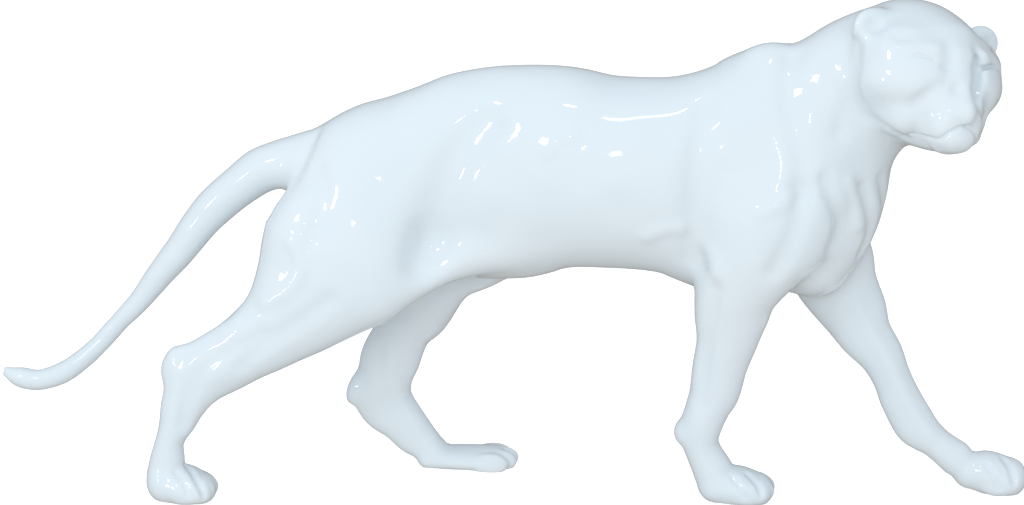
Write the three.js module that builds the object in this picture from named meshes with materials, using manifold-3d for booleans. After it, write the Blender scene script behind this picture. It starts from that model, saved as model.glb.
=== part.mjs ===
// Statuette of a walking panther, cast in one piece, standing on its four paws.
// Millimetres, +X towards the head, +Y to the panther's left, +Z up.
// Every limb is a chain of oval stations or an egg-shaped muscle. The forms melt into
// one another with soft joins, and the skin around them is meshed and thinned to facets.
import * as THREE from "three";
import { mergeVertices } from "three/addons/utils/BufferGeometryUtils.js";
import Module from "manifold-3d";

// Driving dimensions. All the stations below are drawn for a statuette 1040 long.
const overallLength = 1040;
const drawnLength = 1040;
const groundLevel = -4;
const headTurn = 57;
const headDip = -3;
const headTilt = -11;
const headCentre = [402, -35, 437];

// Soft joins between whole limbs
const tailJoin = 14;
const hindLegJoin = 28;
const nearForelegJoin = 30;
const farForelegJoin = 30;
const headJoin = 30;

// Soft joins inside a limb
const joins = {
  neck: 30,
  withers: 24,
  haunch: 25,
  nearFold: 26,
  farFold: 18,
  hollow: 20,
  nearHock: 14,
  farHock: 20,
  wrist: 10,
  paw: 8,
  toe: 3,
};

// Soft joins inside the head
const faceJoins = {
  cheek: 24,
  temple: 20,
  cheekbone: 16,
  jowl: 16,
  leftJowl: 14,
  brow: 14,
  bridge: 14,
  jaw: 14,
  pad: 10,
  nose: 7,
  chin: 7,
  ear: 10,
};

// Fineness of the skin
const gridSpacing = 5;
const facetBudget = 9400;
const stepsPerStation = 5;
const reach = 24;
const edgeWeight = 0.02;
const leastFacing = 0.3;

const unit = overallLength / drawnLength;
const leftward = new THREE.Vector3(0, 1, 0);

// Union of two distances that rounds the valley between them over a width
function softUnion(a, b, width) {
  const overlap = Math.max(width - Math.abs(a - b), 0) / width;
  return Math.min(a, b) - (overlap ** 3 * width) / 6;
}

// Distance to an oval with radii along, across and to the side of its axis
function ovalDistance(along, across, aside, rAlong, rAcross, rAside) {
  const k0 = Math.hypot(along / rAlong, across / rAcross, aside / rAside);
  const k1 = Math.hypot(along / rAlong ** 2, across / rAcross ** 2, aside / rAside ** 2);
  return k1 < 1e-6 ? -Math.min(rAlong, rAcross, rAside) : (k0 * (k0 - 1)) / k1;
}

// A limb through stations [x, y, z, radius in the leg's plane, radius to the side]
class Chain {
  constructor(stations, capStart = 1, capEnd = 1, side = leftward) {
    const centres = stations.map(([x, y, z]) => new THREE.Vector3(x, y, z));
    const radii = stations.map(([, , , rIn, rSide = rIn]) => new THREE.Vector3(rIn, rSide, 0));
    const count = (stations.length - 1) * stepsPerStation;
    this.points = smoothLine(centres).getPoints(count);
    this.radii = smoothLine(radii).getPoints(count);
    this.tangents = this.points.map((point, i) => {
      const before = this.points[Math.max(i - 1, 0)];
      const after = this.points[Math.min(i + 1, count)];
      return after.clone().sub(before).normalize();
    });
    this.side = side;
    this.caps = [capStart, capEnd];
    this.box = new THREE.Box3();
    this.points.forEach((point, i) => {
      const widest = Math.max(this.radii[i].x, this.radii[i].y);
      this.box.union(new THREE.Box3().setFromCenterAndSize(point, cube(2 * widest)));
    });
  }

  distance(x, y, z) {
    let best = Infinity;
    let index = 0;
    let part = 0;
    for (let i = 0; i < this.points.length - 1; i++) {
      const a = this.points[i];
      const b = this.points[i + 1];
      const ux = b.x - a.x;
      const uy = b.y - a.y;
      const uz = b.z - a.z;
      const along = ((x - a.x) * ux + (y - a.y) * uy + (z - a.z) * uz) / (ux * ux + uy * uy + uz * uz);
      const t = Math.min(Math.max(along, 0), 1);
      const gap = (x - a.x - t * ux) ** 2 + (y - a.y - t * uy) ** 2 + (z - a.z - t * uz) ** 2;
      if (gap < best) {
        best = gap;
        index = i;
        part = t;
      }
    }
    const radius = this.radii[index].clone().lerp(this.radii[index + 1], part);
    const centre = this.points[index].clone().lerp(this.points[index + 1], part);
    const tangent = this.tangents[index].clone().lerp(this.tangents[index + 1], part).normalize();
    const aside = this.side.clone().addScaledVector(tangent, -tangent.dot(this.side)).normalize();
    const across = tangent.clone().cross(aside);
    const offset = new THREE.Vector3(x, y, z).sub(centre);
    const atStart = index + part <= 0;
    const atEnd = index + part >= this.points.length - 1;
    const cap = atStart ? this.caps[0] : atEnd ? this.caps[1] : 1;
    const [along, over, beside] = [tangent, across, aside].map((axis) => offset.dot(axis));
    return ovalDistance(along, over, beside, radius.x * cap, radius.x, radius.y);
  }
}

// An egg-shaped muscle or bone with radii along, across and to the side
class Egg {
  constructor(centre, [rAlong, rAcross, rAside], axis = [1, 0, 0], side = leftward) {
    this.centre = new THREE.Vector3(...centre);
    this.radii = [rAlong, rAcross, rAside];
    const along = new THREE.Vector3(...axis).normalize();
    const aside = side.clone().addScaledVector(along, -along.dot(side)).normalize();
    this.axes = [along, along.clone().cross(aside), aside];
    const half = ["x", "y", "z"].map((k) => Math.hypot(...this.axes.map((v, i) => v[k] * this.radii[i])));
    const span = new THREE.Vector3(...half).multiplyScalar(2);
    this.box = new THREE.Box3().setFromCenterAndSize(this.centre, span);
  }

  distance(x, y, z) {
    const offset = new THREE.Vector3(x, y, z).sub(this.centre);
    return ovalDistance(...this.axes.map((axis) => offset.dot(axis)), ...this.radii);
  }
}

// A muscle stretched between two points
function muscle(from, to, thick, wide) {
  const start = new THREE.Vector3(...from);
  const end = new THREE.Vector3(...to);
  const middle = start.clone().lerp(end, 0.5);
  const axis = end.clone().sub(start);
  return new Egg(middle.toArray(), [axis.length() / 2, thick, wide], axis.toArray());
}

// Forms melted together, each with the width of its own join
class Cluster {
  constructor(join) {
    this.join = join;
    this.items = [];
    this.box = new THREE.Box3();
  }

  add(form, width = 10) {
    this.items.push({ form, width, hollow: false });
    this.box.union(form.box);
    return this;
  }

  carve(form, width) {
    this.items.push({ form, width, hollow: true });
    return this;
  }

  distance(x, y, z) {
    let value = Infinity;
    for (const { form, width, hollow } of this.items) {
      const next = form.distance(x, y, z);
      if (hollow) value = -softUnion(-value, next, width);
      else if (value === Infinity) value = next;
      else value = softUnion(value, next, width);
    }
    return value;
  }
}

function smoothLine(points) {
  return new THREE.CatmullRomCurve3(points, false, "catmullrom", 0.5);
}

function cube(size) {
  return new THREE.Vector3(size, size, size);
}

function torso() {
  const flatChest = 0.45;
  const flatNape = 0.8;
  const trunk = new Chain([
    [-201, 0, 324, 32, 33],
    [-170, 0, 323, 55, 50],
    [-115, 0, 320, 81, 58],
    [-60, 0, 319, 101, 59],
    [-5, 0, 322, 107, 65],
    [45, 0, 329, 103, 71],
    [70, 0, 325, 99, 73],
    [97, 0, 325, 96, 74],
    [155, 0, 322, 98, 72],
    [200, 0, 317, 108, 66],
    [250, 0, 320, 118, 60],
    [290, 0, 318, 106, 54],
  ], 1, flatChest);
  const neck = new Chain([
    [215, 0, 345, 84, 58],
    [265, 0, 368, 86, 57],
    [310, -4, 390, 76, 54],
    [345, -12, 418, 70, 54],
    [382, -22, 438, 65, 56],
  ], 1, flatNape);
  const breast = new Chain([
    [316, -2, 388, 47, 46],
    [329, 0, 326, 42, 46],
    [321, 0, 277, 39, 44],
    [302, 0, 238, 34, 42],
  ]);
  const withers = new Egg([252, -16, 436], [26, 20, 16]);
  return new Cluster(0).add(trunk).add(neck, joins.neck).add(breast, joins.neck).add(withers, joins.withers);
}

function tail() {
  return new Cluster(tailJoin).add(new Chain([
    [-165, 0, 345, 27],
    [-190, 0, 340, 25],
    [-212, 0, 334, 24],
    [-232, 0, 328, 24],
    [-253, 0, 320, 23],
    [-274, 0, 305, 21],
    [-295, 0, 287, 20],
    [-316, 0, 264, 18],
    [-336, 0, 237, 16],
    [-358, 0, 211, 14],
    [-379, 0, 184, 11.4],
    [-401, 0, 161, 9.8],
    [-422, 0, 138, 9.5],
    [-444, 0, 118, 10],
    [-465, 0, 104, 10.9],
    [-487, 0, 97, 10.8],
    [-507, 0, 100, 10.2],
    [-521, 0, 105, 5],
  ]));
}

// Four toes at the front of a paw, the middle two the longest
function addToes(cluster, [tipX, tipY], halfWidth, height) {
  const across = [-0.75, -0.27, 0.27, 0.75];
  const back = [9, 1, 0, 7];
  const radii = [19, 12, 8.2];
  across.forEach((share, i) => {
    const centre = [tipX - radii[0] * 0.8 - back[i], tipY + share * halfWidth, height];
    cluster.add(new Egg(centre, radii), joins.toe);
  });
  return cluster;
}

function rightHindLeg() {
  const leg = new Chain([
    [-134, -20, 334, 46, 26],
    [-150, -34, 300, 60, 34],
    [-160, -42, 270, 67, 38],
    [-173, -48, 240, 75, 39],
    [-200, -55, 205, 60, 35],
    [-231, -60, 175, 42, 29],
    [-266, -64, 151, 33, 25],
    [-298, -66, 131, 33, 21],
    [-317, -67, 110, 29, 18],
    [-323, -67, 95, 24, 18],
    [-331, -67, 78, 19, 16],
    [-338, -67, 58, 15, 15],
    [-341, -67, 40, 17, 15],
    [-344, -66, 24, 18, 18],
  ]);
  const haunch = muscle([-122, -46, 300], [-165, -56, 180], 50, 27);
  const flankFold = new Chain([
    [-128, -52, 214, 26, 22],
    [-96, -46, 228, 24, 20],
    [-62, -40, 240, 20, 18],
    [-28, -35, 252, 20, 18],
    [8, -31, 262, 20, 16],
  ]);
  const flankHollow = new Chain([
    [4, -66, 392, 20, 14],
    [-30, -72, 366, 24, 17],
    [-52, -79, 332, 26, 20],
    [-62, -82, 296, 26, 20],
    [-74, -84, 262, 22, 17],
  ]);
  const hock = new Egg([-330, -66, 134], [20, 14, 12], [0.35, 0, 1]);
  const paw = new Chain([
    [-343, -66, 12, 20, 22],
    [-324, -66, 10, 20, 27],
    [-308, -66, 7, 15, 25],
  ]);
  const limb = new Cluster(hindLegJoin).add(leg).add(haunch, joins.haunch);
  limb.add(flankFold, joins.nearFold).carve(flankHollow, joins.hollow);
  limb.add(hock, joins.nearHock).add(paw, joins.paw);
  return addToes(limb, [-296, -66], 25, 8);
}

function leftHindLeg() {
  const leg = new Chain([
    [-134, 18, 334, 48, 24],
    [-131, 32, 300, 60, 34],
    [-126, 41, 268, 60, 38],
    [-114, 48, 236, 56, 38],
    [-101, 55, 200, 48, 35],
    [-101, 60, 168, 37, 30],
    [-117, 62, 142, 29, 25],
    [-132, 63, 110, 31, 20],
    [-139, 63, 85, 30, 19],
    [-139, 63, 64, 33, 17],
    [-120, 63, 43, 24, 16],
    [-105, 63, 26, 21, 16],
    [-88, 63, 12, 15, 18],
  ]);
  const flankFold = new Chain([
    [14, 30, 240, 18, 18],
    [-30, 38, 220, 24, 20],
    [-61, 46, 203, 23, 20],
    [-84, 52, 178, 20, 20],
  ]);
  const hock = new Egg([-167, 63, 76], [20, 10, 11], [0.2, 0, 1]);
  const paw = new Chain([
    [-92, 63, 4, 12, 20],
    [-50, 63, 4, 12, 25],
    [-22, 63, 4, 12, 25],
    [-14, 63, 3, 9, 22],
  ]);
  const limb = new Cluster(hindLegJoin).add(leg).add(flankFold, joins.farFold);
  limb.add(hock, joins.farHock).add(paw, joins.paw);
  return addToes(limb, [-3, 63], 24, 3);
}

function rightForeleg() {
  const leg = new Chain([
    [262, -33, 385, 54, 22],
    [272, -46, 330, 56, 30],
    [255, -50, 285, 60, 34],
    [238, -47, 250, 50, 34],
    [224, -43, 217, 41, 30],
    [219, -39, 190, 36, 26],
    [215, -36, 163, 30, 23],
    [209, -33, 137, 27, 21],
    [205, -30, 111, 25, 20],
    [198, -28, 92, 22, 20],
    [191, -27, 68, 20, 19],
    [193, -26, 50, 18, 18],
    [204, -25, 28, 20, 20],
  ]);
  const wrist = new Egg([177, -27, 66], [13, 12, 12], [0, 0, 1]);
  const paw = new Chain([
    [210, -25, 12, 20, 22],
    [230, -24, 10, 20, 27],
    [249, -24, 7, 16, 26],
  ]);
  const limb = new Cluster(nearForelegJoin).add(leg).add(wrist, joins.wrist).add(paw, joins.paw);
  return addToes(limb, [263, -24], 26, 8);
}

function leftForeleg() {
  const leg = new Chain([
    [262, 32, 390, 50, 22],
    [283, 46, 330, 56, 30],
    [294, 46, 285, 46, 34],
    [304, 44, 258, 45, 33],
    [316, 42, 232, 45, 32],
    [327, 40, 204, 40, 30],
    [343, 38, 177, 34, 26],
    [355, 36, 155, 28, 23],
    [371, 34, 134, 23, 21],
    [383, 32, 110, 20, 19],
    [394, 30, 86, 21, 18],
    [409, 28, 61, 21, 18],
    [429, 27, 45, 16, 18],
    [450, 26, 29, 18, 19],
  ]);
  const paw = new Chain([
    [465, 25, 16, 18, 21],
    [481, 25, 15, 22, 27],
    [502, 25, 10, 20, 26],
  ]);
  const limb = new Cluster(farForelegJoin).add(leg).add(paw, joins.paw);
  return addToes(limb, [516, 25], 26, 8);
}

// The head's own axes: forward, left and up, turned to the panther's right
function headAxes() {
  const degree = Math.PI / 180;
  const forward = new THREE.Vector3(1, 0, 0)
    .applyAxisAngle(leftward, headDip * degree)
    .applyAxisAngle(new THREE.Vector3(0, 0, 1), -headTurn * degree);
  const left = new THREE.Vector3(0, 1, 0)
    .applyAxisAngle(new THREE.Vector3(0, 0, 1), -headTurn * degree)
    .applyAxisAngle(forward, headTilt * degree);
  const up = forward.clone().cross(left);
  return [forward, left, up];
}

// The head, built from forms placed as [forward, left, up] about its centre
function head() {
  const axes = headAxes();
  const place = (amounts) => axes.reduce(
    (sum, axis, i) => sum.addScaledVector(axis, amounts[i]),
    new THREE.Vector3(),
  );
  const centre = new THREE.Vector3(...headCentre);
  const at = (amounts) => place(amounts).add(centre).toArray();
  const egg = (where, radii) => new Egg(at(where), radii, axes[0].toArray(), axes[1]);
  const chain = (rows, capEnd = 1, capStart = 1) => {
    const stations = rows.map(([f, l, u, ...radii]) => [...at([f, l, u]), ...radii]);
    return new Chain(stations, capStart, capEnd, axes[1]);
  };
  const flatFace = 0.7;
  const flatCrown = 0.7;
  const flatBridge = 0.8;
  const both = [-1, 1];
  const skull = new Cluster(headJoin).add(chain([
    [-54, 0, 10, 44, 40],
    [-26, 0, 6, 58, 56],
    [6, 0, -2, 53, 60],
    [30, 0, -20, 41, 50],
    [46, 0, -34, 27, 35],
    [56, 0, -43, 19, 25],
  ], flatFace, flatCrown));
  both.forEach((s) => {
    skull.add(egg([0, s * 29, -12], [50, 35, 50]), faceJoins.cheek);
    skull.add(egg([4, s * 46, 14], [30, 22, 26]), faceJoins.temple);
    skull.add(egg([28, s * 34, -10], [14, 18, 16]), faceJoins.cheekbone);
    skull.add(egg([16, s * 34, -43], [26, 22, 23]), faceJoins.jowl);
    skull.add(chain([[44, s * 9, 17, 8, 8], [38, s * 26, 22, 9, 9], [27, s * 42, 23, 9, 9]]), faceJoins.brow);
  });
  skull.add(chain([
    [20, 0, 26, 20, 28],
    [40, 0, 8, 14, 15],
    [56, 0, -16, 12, 10],
    [64, 0, -28, 9, 8],
  ], flatBridge), faceJoins.bridge);
  skull.add(chain([
    [-10, 0, -42, 28, 40],
    [20, 0, -53, 23, 32],
    [44, 0, -61, 15, 20],
  ]), faceJoins.jaw);
  both.forEach((s) => skull.add(egg([42, s * 15, -48], [24, 17, 16]), faceJoins.pad));
  skull.add(egg([29, 30, -55], [20, 13, 14]), faceJoins.leftJowl).add(egg([68, 0, -33], [9, 11, 8]), faceJoins.nose);
  both.forEach((s) => skull.add(egg([56, s * 7, -60], [14, 13, 13]), faceJoins.chin));
  both.forEach((s) => skull.add(egg([-9, s * 67, 33], [8, 17, 20]), faceJoins.ear));
  return skull;
}

// A block of evenly spaced samples around the statuette
class Samples {
  constructor(box, spacing) {
    this.spacing = spacing;
    this.low = box.min.toArray();
    this.counts = box.getSize(new THREE.Vector3()).toArray().map((size) => Math.ceil(size / spacing) + 1);
    this.strides = [this.counts[1] * this.counts[2], this.counts[2], 1];
    this.values = new Float32Array(this.counts[0] * this.strides[0]).fill(1000);
  }

  // Melts a cluster into the samples that lie within reach of it
  melt(cluster) {
    const margin = cluster.join + reach;
    const from = cluster.box.min.toArray().map((v, k) => this.cell(v - margin, k, Math.floor));
    const to = cluster.box.max.toArray().map((v, k) => this.cell(v + margin, k, Math.ceil));
    for (let i = from[0]; i <= to[0]; i++) {
      for (let j = from[1]; j <= to[1]; j++) {
        for (let k = from[2]; k <= to[2]; k++) {
          const index = i * this.strides[0] + j * this.strides[1] + k;
          const value = cluster.distance(...this.position(i, j, k));
          this.values[index] = softUnion(this.values[index], value, Math.max(cluster.join, 1));
        }
      }
    }
  }

  cell(value, axis, round) {
    const index = round((value - this.low[axis]) / this.spacing);
    return Math.min(Math.max(index, 0), this.counts[axis] - 1);
  }

  position(i, j, k) {
    return [i, j, k].map((index, axis) => this.low[axis] + index * this.spacing);
  }
}

// The corners of a cell as bits: 4 for a step along x, 2 along y and 1 along z
function cornerSteps(corner) {
  return [(corner >> 2) & 1, (corner >> 1) & 1, corner & 1];
}

// Skin where the samples change sign: one quad round each crossed edge between samples
function skin(samples) {
  const { values, strides, counts } = samples;
  const points = [];
  const numbers = new Map();
  const faces = [];
  const pointOf = (cell, corner) => {
    const sheet = sheetOf(samples, cell, corner);
    const key = cell * 8 + Math.min(...sheet);
    if (!numbers.has(key)) {
      numbers.set(key, points.length);
      points.push(sheetPoint(samples, cell, sheet));
    }
    return numbers.get(key);
  };
  for (let i = 1; i < counts[0] - 1; i++) {
    for (let j = 1; j < counts[1] - 1; j++) {
      for (let k = 1; k < counts[2] - 1; k++) {
        const here = i * strides[0] + j * strides[1] + k;
        for (let axis = 0; axis < 3; axis++) {
          const starts = values[here] < 0;
          if (starts === values[here + strides[axis]] < 0) continue;
          const [u, v] = [(axis + 1) % 3, (axis + 2) % 3];
          const ring = [[1, 1], [0, 1], [0, 0], [1, 0]].map(([a, b]) => {
            const corner = (a * 4 >> u) + (b * 4 >> v) + (starts ? 0 : 4 >> axis);
            return pointOf(here - a * strides[u] - b * strides[v], corner);
          });
          if (!starts) ring.reverse();
          faces.push([ring[0], ring[1], ring[2]], [ring[0], ring[2], ring[3]]);
        }
      }
    }
  }
  return { points, faces };
}

// The solid corners of a cell that hang together with one of them along the cell's edges
function sheetOf({ values, strides }, cell, corner) {
  const sheet = [corner];
  for (const from of sheet) {
    for (const bit of [4, 2, 1]) {
      const to = from ^ bit;
      const steps = cornerSteps(to);
      const solid = values[cell + steps[0] * strides[0] + steps[1] * strides[1] + steps[2]] < 0;
      if (solid && !sheet.includes(to)) sheet.push(to);
    }
  }
  return sheet;
}

// Mean of the crossings between a sheet's corners and the open corners beside them
function sheetPoint(samples, cell, sheet) {
  const { values, strides, spacing } = samples;
  const sum = [0, 0, 0];
  let count = 0;
  for (const from of sheet) {
    const steps = cornerSteps(from);
    const start = cell + steps[0] * strides[0] + steps[1] * strides[1] + steps[2];
    for (let axis = 0; axis < 3; axis++) {
      const end = start + (steps[axis] ? -strides[axis] : strides[axis]);
      if (values[end] < 0) continue;
      const part = values[start] / (values[start] - values[end]);
      steps.forEach((step, other) => {
        sum[other] += other === axis ? Math.abs(step - part) : step;
      });
      count++;
    }
  }
  const i = Math.floor(cell / strides[0]);
  const j = Math.floor((cell % strides[0]) / strides[1]);
  return samples.position(i, j, cell % strides[1]).map((low, axis) => low + (sum[axis] / count) * spacing);
}

// Squared distance to the plane of a face, as the ten different terms of a symmetric matrix
function planeTerms(a, b, c) {
  const normal = b.clone().sub(a).cross(c.clone().sub(a));
  const area = normal.length() / 2;
  normal.normalize();
  const p = [normal.x, normal.y, normal.z, -normal.dot(a)];
  const terms = [];
  for (let i = 0; i < 4; i++) {
    for (let j = i; j < 4; j++) terms.push(p[i] * p[j] * area);
  }
  return terms;
}

function misfit(q, p) {
  const { x, y, z } = p;
  return q[0] * x * x + 2 * q[1] * x * y + 2 * q[2] * x * z + 2 * q[3] * x
    + q[4] * y * y + 2 * q[5] * y * z + 2 * q[6] * y
    + q[7] * z * z + 2 * q[8] * z + q[9];
}

// Point of least misfit, or the middle of the edge where the terms don't fix one
function bestPoint(q, a, b) {
  const middle = a.clone().lerp(b, 0.5);
  const matrix = new THREE.Matrix3().set(q[0], q[1], q[2], q[1], q[4], q[5], q[2], q[5], q[7]);
  const size = (q[0] + q[4] + q[7]) / 3;
  if (Math.abs(matrix.determinant()) < 1e-4 * size ** 3) return middle;
  const found = new THREE.Vector3(-q[3], -q[6], -q[8]).applyMatrix3(matrix.invert());
  return found.distanceTo(middle) < a.distanceTo(b) ? found : middle;
}

// Candidates in order of cost, the cheapest on top
class Queue {
  constructor() {
    this.items = [];
  }

  push(item) {
    const { items } = this;
    let at = items.push(item) - 1;
    while (at > 0) {
      const parent = (at - 1) >> 1;
      if (items[parent].cost <= item.cost) break;
      items[at] = items[parent];
      at = parent;
    }
    items[at] = item;
  }

  pop() {
    const { items } = this;
    const top = items[0];
    const last = items.pop();
    if (!items.length) return top;
    let at = 0;
    for (let child = 1; child < items.length; child = 2 * at + 1) {
      if (child + 1 < items.length && items[child + 1].cost < items[child].cost) child++;
      if (items[child].cost >= last.cost) break;
      items[at] = items[child];
      at = child;
    }
    items[at] = last;
    return top;
  }
}

// Skin whose edges can be closed up one at a time, each into the point that fits its faces best
class ThinningSkin {
  constructor({ points, faces }) {
    this.points = points.map((p) => new THREE.Vector3(...p));
    this.faces = faces.map((face) => [...face]);
    this.around = points.map(() => new Set());
    this.terms = points.map(() => new Float64Array(10));
    this.stamps = new Uint32Array(points.length);
    this.queue = new Queue();
    this.alive = faces.length;
    faces.forEach((face, index) => {
      const terms = planeTerms(...face.map((v) => this.points[v]));
      face.forEach((v) => {
        this.around[v].add(index);
        terms.forEach((term, i) => (this.terms[v][i] += term));
      });
    });
    points.forEach((_, v) => this.neighbours(v).forEach((w) => v < w && this.offer(v, w)));
  }

  neighbours(v) {
    const found = new Set();
    for (const index of this.around[v]) this.faces[index].forEach((w) => w !== v && found.add(w));
    return found;
  }

  offer(a, b) {
    const terms = this.terms[a].map((term, i) => term + this.terms[b][i]);
    const start = this.points[a];
    const end = this.points[b];
    const point = bestPoint(terms, start, end);
    const cost = misfit(terms, point) + edgeWeight * start.distanceToSquared(end);
    this.queue.push({ cost, a, b, point, stamp: this.stamps[a] + this.stamps[b] });
  }

  // True where the closed edge keeps the skin whole and turns none of its faces over
  allows(a, b, point) {
    const near = this.neighbours(b);
    const shared = [...this.neighbours(a)].filter((v) => near.has(v));
    if (shared.length !== 2) return false;
    return [[a, b], [b, a]].every(([moved, other]) => [...this.around[moved]].every((index) => {
      const face = this.faces[index];
      if (face.includes(other)) return true;
      const before = normalOf(face.map((v) => this.points[v]));
      const after = normalOf(face.map((v) => (v === moved ? point : this.points[v])));
      return before.dot(after) > leastFacing;
    }));
  }

  close(a, b, point) {
    for (const index of [...this.around[b]]) {
      const face = this.faces[index];
      if (face.includes(a)) {
        face.forEach((v) => this.around[v].delete(index));
        this.faces[index] = null;
        this.alive--;
      } else {
        face[face.indexOf(b)] = a;
        this.around[a].add(index);
      }
    }
    this.around[b].clear();
    this.points[a].copy(point);
    this.terms[b].forEach((term, i) => (this.terms[a][i] += term));
    this.stamps[a] += 1;
    this.stamps[b] += 1;
    this.neighbours(a).forEach((v) => this.offer(a, v));
  }

  thin(budget) {
    while (this.alive > budget && this.queue.items.length) {
      const { a, b, point, stamp } = this.queue.pop();
      const alive = this.around[a].size && this.around[b].size;
      const current = alive && stamp === this.stamps[a] + this.stamps[b];
      if (current && this.allows(a, b, point)) this.close(a, b, point);
    }
    return this.faces.filter(Boolean);
  }
}

function normalOf([a, b, c]) {
  return b.clone().sub(a).cross(c.clone().sub(a)).normalize();
}

const wasm = await Module();
wasm.setup();

function solidOf(points, triangles) {
  return new wasm.Manifold(new wasm.Mesh({
    numProp: 3,
    vertProperties: new Float32Array(points),
    triVerts: new Uint32Array(triangles),
  }));
}

// The floor as a block, whose top face cuts the soles flat
function floorBlock(box) {
  const size = box.getSize(new THREE.Vector3()).addScalar(100);
  const block = new THREE.BoxGeometry(size.x, size.y, size.z);
  block.translate(...box.getCenter(new THREE.Vector3()).setZ(groundLevel - size.z / 2).toArray());
  block.deleteAttribute("normal");
  block.deleteAttribute("uv");
  const merged = mergeVertices(block);
  return solidOf(merged.attributes.position.array, merged.index.array);
}

function makePanther() {
  const clusters = [torso(), tail(), rightHindLeg(), leftHindLeg(), rightForeleg(), leftForeleg(), head()];
  const box = new THREE.Box3();
  clusters.forEach((cluster) => box.union(cluster.box));
  box.expandByScalar(reach);
  box.min.z = groundLevel - 3 * gridSpacing;
  const samples = new Samples(box, gridSpacing);
  clusters.forEach((cluster) => samples.melt(cluster));
  const rough = skin(samples);
  const thinning = new ThinningSkin(rough);
  const faces = thinning.thin(facetBudget);
  const cast = solidOf(thinning.points.flatMap((p) => p.toArray()), faces.flat()).subtract(floorBlock(box));
  const { vertProperties, triVerts } = cast.getMesh();
  const geometry = new THREE.BufferGeometry();
  geometry.setAttribute("position", new THREE.BufferAttribute(vertProperties, 3));
  geometry.setIndex(new THREE.BufferAttribute(triVerts, 1));
  geometry.scale(unit, unit, unit);
  geometry.computeBoundingBox();
  const middle = geometry.boundingBox.getCenter(new THREE.Vector3());
  geometry.translate(-middle.x, -middle.y, -geometry.boundingBox.min.z);
  geometry.computeVertexNormals();
  return geometry;
}

const whiteLacquer = new THREE.MeshStandardMaterial({ color: 0xe9eff3, roughness: 0.12, metalness: 0 });
const panther = new THREE.Mesh(makePanther(), whiteLacquer);
panther.name = "panther";

const statuette = new THREE.Group();
statuette.name = "panther-statuette";
statuette.add(panther);

export default statuette;
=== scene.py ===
import math
import bpy
import bmesh
import numpy as np
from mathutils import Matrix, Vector


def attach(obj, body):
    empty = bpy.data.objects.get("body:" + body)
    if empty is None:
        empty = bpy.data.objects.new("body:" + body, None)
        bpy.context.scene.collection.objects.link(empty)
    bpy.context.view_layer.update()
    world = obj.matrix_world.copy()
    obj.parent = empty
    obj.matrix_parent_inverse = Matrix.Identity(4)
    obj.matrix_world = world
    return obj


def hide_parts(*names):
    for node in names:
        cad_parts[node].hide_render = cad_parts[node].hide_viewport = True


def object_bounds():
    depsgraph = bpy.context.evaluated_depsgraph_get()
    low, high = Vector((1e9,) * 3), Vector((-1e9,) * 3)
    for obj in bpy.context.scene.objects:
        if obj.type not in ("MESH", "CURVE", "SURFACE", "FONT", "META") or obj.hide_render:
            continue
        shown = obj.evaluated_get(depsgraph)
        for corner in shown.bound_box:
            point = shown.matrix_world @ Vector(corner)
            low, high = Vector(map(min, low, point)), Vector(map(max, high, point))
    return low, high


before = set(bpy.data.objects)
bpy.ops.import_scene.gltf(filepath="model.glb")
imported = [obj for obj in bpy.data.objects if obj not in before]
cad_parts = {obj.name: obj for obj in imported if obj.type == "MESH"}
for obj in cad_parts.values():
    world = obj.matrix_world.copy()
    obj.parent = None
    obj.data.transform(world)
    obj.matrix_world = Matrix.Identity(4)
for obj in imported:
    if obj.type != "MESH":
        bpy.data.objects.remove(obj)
cadLow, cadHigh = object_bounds()
print("frame read, length", round(cadHigh.x - cadLow.x, 4))

# The figure is drawn in millimetres, as its casting is: +X to the head, +Y to its left, +Z up.
figure = {
    "ground": -4,           # level of the soles
    "spacing": 4.2,         # size of a face on the broad forms
    "padding": 3,           # empty spacings round the figure
    "under": 4,             # and below its soles
    "clusterReach": 20,     # how far a cluster is felt beyond its own box and its join
    "formReach": 12,        # the same for one form
    "outside": 1000.0,      # distance given where nothing is near
    "steps": 5,             # pieces of each chain between two stations
    "finer": 6,             # pieces in each of those, for the true curve
    "curveRounds": 2,       # how often a place is moved along the true curve
    "curvePull": 0.7,       # part of the way that each move goes
}

leftward = np.array([0.0, 1.0, 0.0])


def unitOf(vector):
    vector = np.asarray(vector, float)
    return vector / np.linalg.norm(vector)


def softUnion(a, b, width):
    overlap = np.maximum(width - np.abs(a - b), 0) / width
    return np.minimum(a, b) - overlap ** 3 * width / 6


def melt(value, other, width, hollow=False):
    return -softUnion(-value, other, width) if hollow else softUnion(value, other, width)


def ovalDistance(along, across, aside, rAlong, rAcross, rAside):
    k0 = np.sqrt((along / rAlong) ** 2 + (across / rAcross) ** 2 + (aside / rAside) ** 2)
    k1 = np.sqrt((along / rAlong ** 2) ** 2 + (across / rAcross ** 2) ** 2 + (aside / rAside ** 2) ** 2)
    inner = -np.minimum(np.minimum(rAlong, rAcross), rAside)
    return np.where(k1 < 1e-6, inner, k0 * (k0 - 1) / np.maximum(k1, 1e-6))


def smoothLine(rows, steps):
    rows = np.asarray(rows, float)
    padded = np.vstack([2 * rows[0] - rows[1], rows, 2 * rows[-1] - rows[-2]])
    line = []
    for a, b, c, d in zip(padded, padded[1:], padded[2:], padded[3:]):
        for t in np.arange(steps) / steps:
            line.append(b + 0.5 * t * (c - a + t * (2 * a - 5 * b + 4 * c - d + t * (3 * (b - c) + d - a))))
    return np.array(line + [rows[-1]])


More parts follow.
